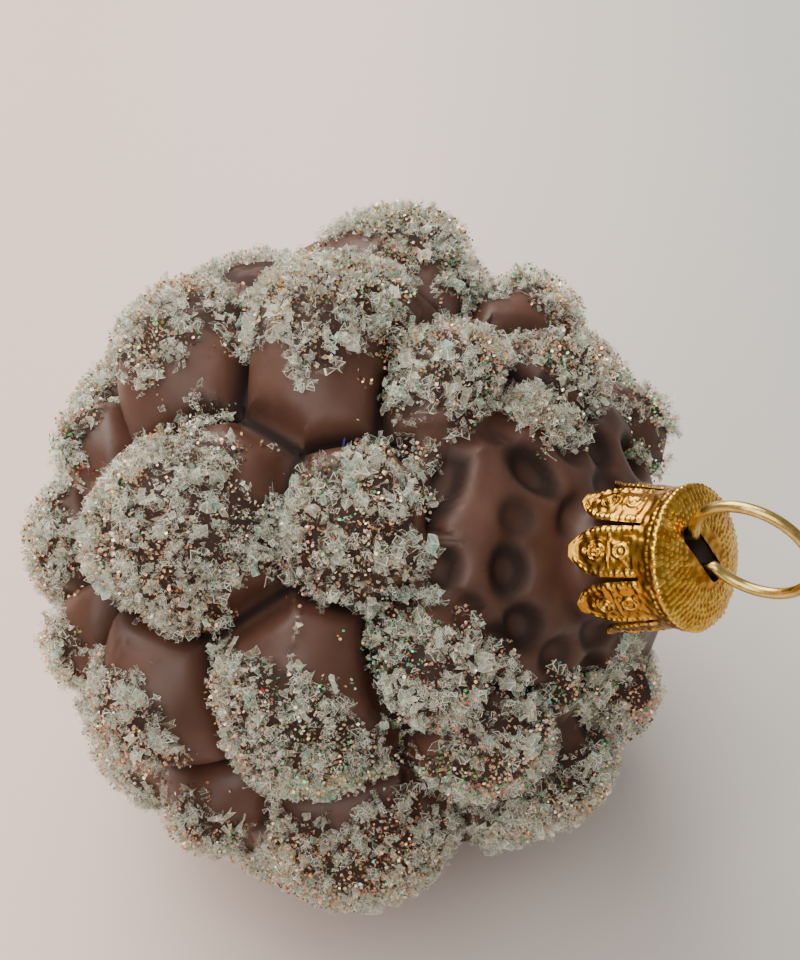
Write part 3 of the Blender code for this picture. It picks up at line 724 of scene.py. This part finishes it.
def joinParts(name, groups, finishes):
    # each group is its places, its triangles, their corner lines and face colours, and its finish's number
    places, faces, lines, colours, kinds = [], [], [], [], []
    start = 0
    for spots, triangles, drawn, tints, kind in groups:
        places.append(spots)
        faces.append(triangles + start)
        lines.append(drawn)
        colours.append(tints)
        kinds.append(np.full(len(triangles), kind))
        start += len(spots)
    places, faces = np.concatenate(places), np.concatenate(faces)
    places[:, 2] = np.maximum(places[:, 2], 0.02 * mm)
    mesh = bpy.data.meshes.new(name)
    mesh.vertices.add(len(places))
    mesh.vertices.foreach_set("co", places.astype(np.float32).ravel())
    mesh.loops.add(faces.size)
    mesh.loops.foreach_set("vertex_index", faces.astype(np.int32).ravel())
    mesh.polygons.add(len(faces))
    mesh.polygons.foreach_set("loop_start", np.arange(0, faces.size, 3, dtype=np.int32))
    for finish in finishes:
        mesh.materials.append(finish)
    mesh.polygons.foreach_set("material_index", np.concatenate(kinds).astype(np.int32))
    mesh.update(calc_edges=True)
    layer = mesh.attributes.new("creases", "FLOAT_COLOR", "CORNER")
    drawn = np.concatenate(lines)
    layer.data.foreach_set("color", np.hstack([drawn, np.ones((len(drawn), 1))]).astype(np.float32).ravel())
    layer = mesh.attributes.new("tint", "FLOAT_COLOR", "FACE")
    tints = np.concatenate(colours)
    layer.data.foreach_set("color", np.hstack([tints, np.ones((len(tints), 1))]).astype(np.float32).ravel())
    piece = bpy.data.objects.new(name, mesh)
    bpy.context.scene.collection.objects.link(piece)
    return piece


def filmFinish():
    made, nodes, links, shader = newFinish("clear crumpled film")
    creases = addNode(nodes, "ShaderNodeAttribute", {"attribute_name": "creases"})
    split = addNode(nodes, "ShaderNodeSeparateColor")
    links.new(creases.outputs["Color"], split.inputs["Color"])
    least = addNode(nodes, "ShaderNodeMath", {"operation": "MINIMUM"})
    links.new(split.outputs["Red"], least.inputs[0])
    links.new(split.outputs["Green"], least.inputs[1])
    nearest = addNode(nodes, "ShaderNodeMath", {"operation": "MINIMUM"})
    links.new(least.outputs[0], nearest.inputs[0])
    links.new(split.outputs["Blue"], nearest.inputs[1])
    edge = addNode(nodes, "ShaderNodeMapRange", None, {"From Max": 0.16, "To Max": 0})
    links.new(nearest.outputs[0], edge.inputs["Value"])
    tint = addNode(nodes, "ShaderNodeAttribute", {"attribute_name": "tint"})
    shades = addNode(nodes, "ShaderNodeSeparateColor")
    links.new(tint.outputs["Color"], shades.inputs["Color"])
    faint = addNode(nodes, "ShaderNodeMapRange", None, {"To Min": 0.3})
    links.new(shades.outputs["Blue"], faint.inputs["Value"])
    links.new(faint.outputs["Result"], edge.inputs["To Min"])
    hues = ramp(nodes, (
        (0.0, (0.34, 0.33, 0.24)), (0.3, (0.50, 0.48, 0.35)), (0.6, (0.56, 0.51, 0.38)),
        (0.88, (0.49, 0.52, 0.39)), (0.98, (0.32, 0.50, 0.38)),
    ))
    links.new(shades.outputs["Red"], hues.inputs["Fac"])
    # painted highlight: the film's edges and creases are drawn as opaque cream-white lines, where light would catch
    # them
    colour = mixColours(nodes, links, edge.outputs["Result"], hues.outputs["Color"], (1.0, 0.98, 0.84))
    links.new(colour, shader.inputs["Base Color"])
    veil = ramp(nodes, [(place, (share, share, share)) for place, share in crust["cloud"]])
    links.new(shades.outputs["Green"], veil.inputs["Fac"])
    solid = addNode(nodes, "ShaderNodeMath", {"operation": "MAXIMUM"})
    links.new(veil.outputs["Color"], solid.inputs[0])
    links.new(edge.outputs["Result"], solid.inputs[1])
    links.new(solid.outputs[0], shader.inputs["Alpha"])
    shader.inputs["Roughness"].default_value = 0.2
    return made


def dotFinish():
    made, nodes, links, shader = newFinish("fine coloured glitter")
    tint = addNode(nodes, "ShaderNodeAttribute", {"attribute_name": "tint"})
    links.new(tint.outputs["Color"], shader.inputs["Base Color"])
    shader.inputs["Metallic"].default_value = 0.45
    shader.inputs["Roughness"].default_value = 0.25
    return made


def glitterCrusts():
    films = [modelFlake(100 + number, 3, 2, 0.16) for number in range(crust["filmShapes"])]
    chips = [modelFlake(200 + number, 2, 1, 0.2) for number in range(crust["chipShapes"])]
    dot = dotShape()
    finishes = (filmFinish(), dotFinish())
    made, triangles = [], 0
    for index in range(len(scales)):
        groups, dots, colours = makeCrust(index, films, chips, dot)
        parts = []
        for spots, faces, lines, tints in groups:
            cloud = np.random.default_rng(index).random(len(tints))
            parts.append((spots, faces, lines, np.column_stack([tints, (tints * 7) % 1, cloud]), 0))
        spots, faces, lines, _ = dots
        parts.append((spots, faces, lines, np.repeat(colours, len(dot[1]), axis=0), 1))
        piece = joinParts(f"flakes_and_glitter_{index + 1:02d}", parts, finishes)
        made.append(keep(piece, f"glitter_crust_{index + 1:02d}"))
        triangles += len(piece.data.polygons)
    print("glitter crusts:", triangles, "triangles")
    return made


# the wire ring

def wireRing():
    route = list(wire["legUp"])
    for step in range(wire["ringSteps"] + 1):
        angle = math.radians(180 - wire["ringOpen"] - (360 - 2 * wire["ringOpen"]) * step / wire["ringSteps"])
        route.append((
            (wire["ringShift"] + wire["ringRadius"] * math.sin(angle)) / mm,
            (wire["ringHeight"] + wire["ringRadius"] * math.cos(angle)) / mm,
        ))
    route += wire["legDown"]
    turn = math.radians(wire["ringTurn"])
    places = toFrame(np.array([(out * math.cos(turn), out * math.sin(turn), up) for out, up in route]) * mm)
    line = bpy.data.curves.new("wire ring", "CURVE")
    line.dimensions = "3D"
    line.bevel_depth = wire["radius"]
    line.bevel_resolution = wire["sides"]
    line.use_fill_caps = True
    run = line.splines.new("POLY")
    run.points.add(len(places) - 1)
    for point, place in zip(run.points, places):
        point.co = (*place, 1)
    piece = bpy.data.objects.new("wire_ring", line)
    bpy.context.scene.collection.objects.link(piece)
    onlyActive(piece)
    bpy.ops.object.convert(target="MESH")
    piece = bpy.context.active_object
    piece.data.shade_smooth()
    piece.data.materials.clear()
    piece.data.materials.append(paleBrass())
    print("wire ring:", len(piece.data.polygons), "faces")
    return keep(piece, "hanger")


def paleBrass():
    made, nodes, links, shader = newFinish("pale gold wire")
    place = addNode(nodes, "ShaderNodeTexCoord")
    scuffs = addNode(nodes, "ShaderNodeTexNoise", None, {"Scale": 900, "Detail": 3})
    links.new(place.outputs["Object"], scuffs.inputs["Vector"])
    gold = ramp(nodes, ((0.3, (0.50, 0.33, 0.08)), (0.6, (0.70, 0.51, 0.17)), (0.8, (0.80, 0.63, 0.28))))
    links.new(scuffs.outputs["Fac"], gold.inputs["Fac"])
    links.new(gold.outputs["Color"], shader.inputs["Base Color"])
    worn = addNode(nodes, "ShaderNodeMapRange", None, {"To Min": 0.18, "To Max": 0.38})
    links.new(scuffs.outputs["Fac"], worn.inputs["Value"])
    links.new(worn.outputs["Result"], shader.inputs["Roughness"])
    shader.inputs["Metallic"].default_value = 1
    return made


# the crown cap

cap = {                            # radii and heights in millimetres, as the neck stands upright
    "profile": (                   # down its outside, from the middle of the top to a finger's turned-out end
        (0, 42.8), (2.4, 42.7), (4.4, 42.45), (5.9, 42.1), (6.75, 41.75), (6.95, 41.35), (6.75, 40.7),
        (6.6, 39.4), (6.75, 37.6), (6.95, 35.6), (6.95, 33.8), (6.95, 32.8), (7.35, 32.15),
    ),
    "halfWidths": ((32.15, 3.2), (32.6, 8.5), (33.2, 14), (34.2, 18.4), (35.6, 20), (37.6, 20.8), (39.4, 21)),
    "slitTop": 39.4,
    "fingers": 8,
    "firstFinger": -5,
    "fingerColumns": 44,
    "slitColumns": 2,
    "rowStep": 0.115,
    "topRows": 40,                 # from the slot's rim to topEnd, counted down the profile
    "topEnd": 6.3,
    "wall": 0.3,
    "innerShare": 0.12,            # how much of the inside's faces stay
    "slot": {"length": 7.0, "width": 2.2, "turn": -40, "shift": 0.6},
    "beadRing": (3.2, 36, 0.17, 0.2),                       # distance down the profile, count, height, half width
    "granuleRows": (4.0, 4.58, 5.16, 5.74, 6.32, 8.05),
    "granule": (0.58, 0.12, 0.2),                           # pitch, height, half width
    "rim": (7.05, 66, 0.2, 0.26),
}


def capProfile():  # how far down the profile, radius and height there, and how far down the slits start
    outline = np.array(cap["profile"], float)
    runs = np.concatenate([[0], np.cumsum(np.linalg.norm(np.diff(outline, axis=0), axis=1))])
    downs = np.linspace(0, runs[-1], 600)
    spots = []
    for shift in (-0.25, -0.12, 0, 0.12, 0.25):             # averaged a little, so that its corners are round
        spots.append([np.interp(downs + shift, runs, outline[:, axis]) for axis in (0, 1)])
    radius, height = np.mean(spots, axis=0)
    return downs, radius, height, float(np.interp(-cap["slitTop"], -outline[:, 1], runs))


def slotReach(turn):  # how far the slot's rim is from the neck's axis, at each turn
    slot = cap["slot"]
    across, along = np.sin(turn - math.radians(slot["turn"])), np.cos(turn - math.radians(slot["turn"]))
    half, end = slot["width"] / 2, (slot["length"] - slot["width"]) / 2
    side = half / np.maximum(np.abs(across), 1e-6)
    middle = slot["shift"] + end * np.sign(along)
    rounded = middle * along + np.sqrt(np.maximum(0, half**2 - (middle * across) ** 2))
    return np.where(np.abs(side * along - slot["shift"]) <= end, side, rounded)


def bumps(down, turn, place, count, height, half, phase=0.0):  # a ring of small round bumps
    return height * np.exp(-(((down - place) / half) ** 2)) * (0.5 + 0.5 * np.cos(count * turn + phase)) ** 0.8


def fingerRelief(across, edge, down):  # beaded border, rosette, cross line, scroll and a dot, by millimetres
    inside = smoothStep(0.62, 0.85, edge) * smoothStep(0.3, 0.8, down) * smoothStep(6.9, 6.3, down)
    bordered = smoothStep(0.1, 0.4, down) * smoothStep(7.0, 6.6, down)
    beads = 0.16 * np.exp(-(((edge - 0.36) / 0.17) ** 2)) * (0.25 + 0.75 * (0.5 + 0.5 * np.cos(down * math.tau / 0.56)))
    made = bordered * (1.2 * beads + 0.07 * np.exp(-(((edge - 0.72) / 0.07) ** 2)))
    ring = np.hypot(across / 0.62, (down - 1.75) / 0.68)
    motif = 0.17 * np.exp(-(((ring - 1) / 0.24) ** 2)) + 0.17 * np.exp(-((ring / 0.32) ** 2))
    for side in (-1, 1):
        for place in (0.95, 2.6):
            motif += 0.11 * np.exp(-(((across - side * 0.72) ** 2 + (down - place) ** 2) / 0.03))
    motif += 0.09 * np.exp(-(((down - 3.1) / 0.09) ** 2))
    away = np.hypot(across, down - 4.35)
    coil = 0.5 + 0.5 * np.cos(math.tau * away / 0.42 - np.arctan2(down - 4.35, across))
    motif += 0.17 * coil**1.5 * smoothStep(1.12, 0.85, away)
    motif += 0.16 * np.exp(-((across**2 + (down - 5.85) ** 2) / 0.06))
    return made + inside * (1.25 * motif - 0.08)


def crownCap():
    downs, radii, heights, slitDown = capProfile()
    perFinger = cap["fingerColumns"] + cap["slitColumns"]
    columns = perFinger * cap["fingers"]
    below = int((downs[-1] - cap["topEnd"]) / cap["rowStep"])
    rows = cap["topRows"] + below
    bpy.ops.object.select_all(action="DESELECT")
    bpy.ops.mesh.primitive_grid_add(x_subdivisions=columns, y_subdivisions=rows, size=2)
    piece = bpy.context.active_object
    piece.name = "stamped_gold_cap"
    flat = corners(piece)
    column = np.rint((flat[:, 0] + 1) / 2 * columns).astype(int)
    row = np.rint((flat[:, 1] + 1) / 2 * rows).astype(int)
    finger, place = column // perFinger, column % perFinger
    inSlit = place > cap["fingerColumns"]
    share = 2 * place / cap["fingerColumns"] - 1
    pitch = 360 / cap["fingers"]
    widths = np.array(cap["halfWidths"])

    def turnAt(half):
        beside = half + (pitch - 2 * half) * (place - cap["fingerColumns"]) / cap["slitColumns"]
        return np.radians(cap["firstFinger"] + pitch * finger + np.where(inSlit, beside, share * half))

    reach = slotReach(turnAt(widths[-1, 1]))
    down = np.where(
        row <= cap["topRows"],
        reach + (cap["topEnd"] - reach) * row / cap["topRows"],
        cap["topEnd"] + (downs[-1] - cap["topEnd"]) * (row - cap["topRows"]) / below,
    )
    radius, height = np.interp(down, downs, radii), np.interp(down, downs, heights)
    half = np.interp(height, widths[:, 0], widths[:, 1])
    turn = turnAt(half)
    across = np.where(inSlit, 9, share * np.radians(half) * radius)
    edge = np.radians(half) * radius - np.abs(across)
    relief = fingerRelief(across, edge, down - slitDown)
    topside = bumps(down, turn, *cap["beadRing"])
    size, tall, wide = cap["granule"]
    for number, spot in enumerate(cap["granuleRows"]):
        count = round(math.tau * np.interp(spot, downs, radii) / size)
        topside += bumps(down, turn, spot, count, tall, wide, 1.9 * number)
    spot, count, tall, wide = cap["rim"]
    topside += bumps(down, turn, spot, count, tall, wide)
    around = np.column_stack([radius * np.cos(turn), radius * np.sin(turn), height])
    worn = 0.85 + 0.3 * waves(around, 1.4, 8)
    relief = (relief + topside * smoothStep(0.05, 0.35, down - reach)) * worn + 0.035 * waves(around, 0.5, 9)
    slopes = [np.interp(down, downs, np.gradient(values, downs)) for values in (radii, heights)]
    radius = radius - slopes[1] * relief
    height = height + slopes[0] * relief
    moveCorners(piece, toFrame(np.column_stack([radius * np.cos(turn), radius * np.sin(turn), height]) * mm))
    for name, values in (("raised", np.clip(relief / 0.16, -0.4, 1.2)), ("down", down)):
        layer = piece.data.attributes.new(name, "FLOAT", "POINT")
        layer.data.foreach_set("value", values.astype(np.float32))
    loops = np.empty(len(piece.data.loops), int)
    piece.data.loops.foreach_get("vertex_index", loops)
    quads = loops.reshape(-1, 4)
    selectFaces(piece, inSlit[quads].any(1) & (down[quads].min(1) > slitDown - 0.05))
    bpy.ops.object.mode_set(mode="EDIT")
    bpy.ops.mesh.delete(type="FACE")
    bpy.ops.mesh.select_all(action="SELECT")
    bpy.ops.mesh.remove_doubles(threshold=0.002 * mm)
    bpy.ops.mesh.normals_make_consistent(inside=False)
    bpy.ops.object.mode_set(mode="OBJECT")
    outside = len(piece.data.vertices)
    wall = piece.modifiers.new("wall", "SOLIDIFY")
    wall.thickness = cap["wall"] * mm
    wall.offset = -1
    bpy.ops.object.modifier_apply(modifier="wall")
    smoothInside(piece, outside, downs, radii, heights)
    piece.data.materials.clear()
    piece.data.materials.append(stampedGold())
    bpy.ops.object.shade_smooth_by_angle(angle=math.radians(55))
    print("cap:", len(piece.data.polygons), "faces")
    return keep(piece, "cap")


def smoothInside(piece, outside, downs, radii, heights):  # the wall's inner side has no relief and fewer faces
    down = np.empty(len(piece.data.vertices), np.float32)
    piece.data.attributes["down"].data.foreach_get("value", down)
    piece.data.attributes.remove(piece.data.attributes["down"])
    places = toUpright(corners(piece))
    turn = np.arctan2(places[:, 1], places[:, 0])
    slopes = [np.interp(down, downs, np.gradient(values, downs)) for values in (radii, heights)]
    radius = np.interp(down, downs, radii) + slopes[1] * cap["wall"]
    height = np.interp(down, downs, heights) - slopes[0] * cap["wall"]
    inner = np.column_stack([radius * np.cos(turn), radius * np.sin(turn), height]) * mm
    places[outside:] = inner[outside:]
    moveCorners(piece, toFrame(places))
    selectFaces(piece, [min(face.vertices) >= outside for face in piece.data.polygons])
    bpy.ops.object.mode_set(mode="EDIT")
    bpy.ops.mesh.decimate(ratio=cap["innerShare"])
    bpy.ops.mesh.quads_convert_to_tris()
    bpy.ops.object.mode_set(mode="OBJECT")


def stampedGold():
    made, nodes, links, shader = newFinish("stamped gold")
    place = addNode(nodes, "ShaderNodeTexCoord")
    blotches = addNode(nodes, "ShaderNodeTexNoise", None, {"Scale": 420, "Detail": 4})
    links.new(place.outputs["Object"], blotches.inputs["Vector"])
    gold = ramp(nodes, ((0.3, (0.60, 0.30, 0.03)), (0.55, (0.80, 0.46, 0.065)), (0.75, (0.93, 0.62, 0.13))))
    links.new(blotches.outputs["Fac"], gold.inputs["Fac"])
    raised = addNode(nodes, "ShaderNodeAttribute", {"attribute_name": "raised"})
    # painted shade: the gold is drawn darker and redder where the stamped relief sinks in
    hollowShade = addNode(nodes, "ShaderNodeMapRange", None, {"From Max": 0.35, "To Min": 0.75, "To Max": 0})
    links.new(raised.outputs["Fac"], hollowShade.inputs["Value"])
    colour = mixColours(nodes, links, hollowShade.outputs["Result"], gold.outputs["Color"], (0.36, 0.13, 0.01))
    links.new(colour, shader.inputs["Base Color"])
    satin = addNode(nodes, "ShaderNodeMapRange", None, {"To Min": 0.16, "To Max": 0.32})
    links.new(blotches.outputs["Fac"], satin.inputs["Value"])
    links.new(satin.outputs["Result"], shader.inputs["Roughness"])
    shader.inputs["Metallic"].default_value = 1
    return made


# the camera, the floor and the light

camera = {
    "offset": (4.1255 * mm, -185.273 * mm, 196.3587 * mm),   # from the middle of the body
    "pitch": 45,
    "lens": 98.116,
    "sensor": 36,
}


def addCamera():
    place = bodyMiddle + np.array(camera["offset"])
    bpy.ops.object.camera_add(location=place, rotation=(math.radians(camera["pitch"]), 0, 0))
    made = bpy.context.active_object
    made.data.lens = camera["lens"]
    made.data.sensor_width = camera["sensor"]
    made.data.clip_start = 0.01
    bpy.context.scene.camera = made

floor = {"size": 1.6}
lights = {
    "window": {"place": (-0.22, 0.30, 0.50), "size": 0.6, "power": 7.4, "colour": (1.0, 0.97, 0.93)},
    "fill": {"place": (-0.16, -0.34, 0.42), "size": 0.5, "power": 2.6, "colour": (1.0, 0.99, 0.97)},
}
sky = {"colour": (0.86, 0.86, 0.88), "strength": 0.4}


def addFloor():
    bpy.ops.object.select_all(action="DESELECT")
    bpy.ops.mesh.primitive_plane_add(size=floor["size"])
    made = bpy.context.active_object
    made.name = "pale_floor"
    finish, nodes, links, shader = newFinish("pale paper")
    place = addNode(nodes, "ShaderNodeTexCoord")
    spread = addNode(nodes, "ShaderNodeMapping", None, {"Location": (0.5, 0.5, 0), "Scale": (4, 4, 4)})
    links.new(place.outputs["Object"], spread.inputs["Vector"])
    split = addNode(nodes, "ShaderNodeSeparateXYZ")
    links.new(spread.outputs["Vector"], split.inputs["Vector"])
    # painted light falloff: the floor is lighter and pinker towards -X and darker and greyer towards +X
    paintedFalloff = ramp(nodes, ((0.3, (0.79, 0.58, 0.49)), (0.5, (0.78, 0.64, 0.57)), (0.72, (0.53, 0.52, 0.48))))
    links.new(split.outputs["X"], paintedFalloff.inputs["Fac"])
    links.new(paintedFalloff.outputs["Color"], shader.inputs["Base Color"])
    shader.inputs["Roughness"].default_value = 0.7
    made.data.materials.append(finish)


def addLights():
    for name, lamp in lights.items():
        place = Vector(lamp["place"])
        turned = (Vector(bodyMiddle) - place).to_track_quat("-Z", "Y").to_euler()
        bpy.ops.object.light_add(type="AREA", location=place, rotation=turned)
        made = bpy.context.active_object
        made.name = name
        made.data.size = lamp["size"]
        made.data.energy = lamp["power"]
        made.data.color = lamp["colour"]
    world = bpy.data.worlds.new("room light")
    world.use_nodes = True
    world.node_tree.nodes["Background"].inputs["Color"].default_value = (*sky["colour"], 1)
    world.node_tree.nodes["Background"].inputs["Strength"].default_value = sky["strength"]
    bpy.context.scene.world = world


addCamera()
addFloor()
addLights()
cone = glassBody()
crusts = glitterCrusts()
ring = wireRing()
goldCap = crownCap()
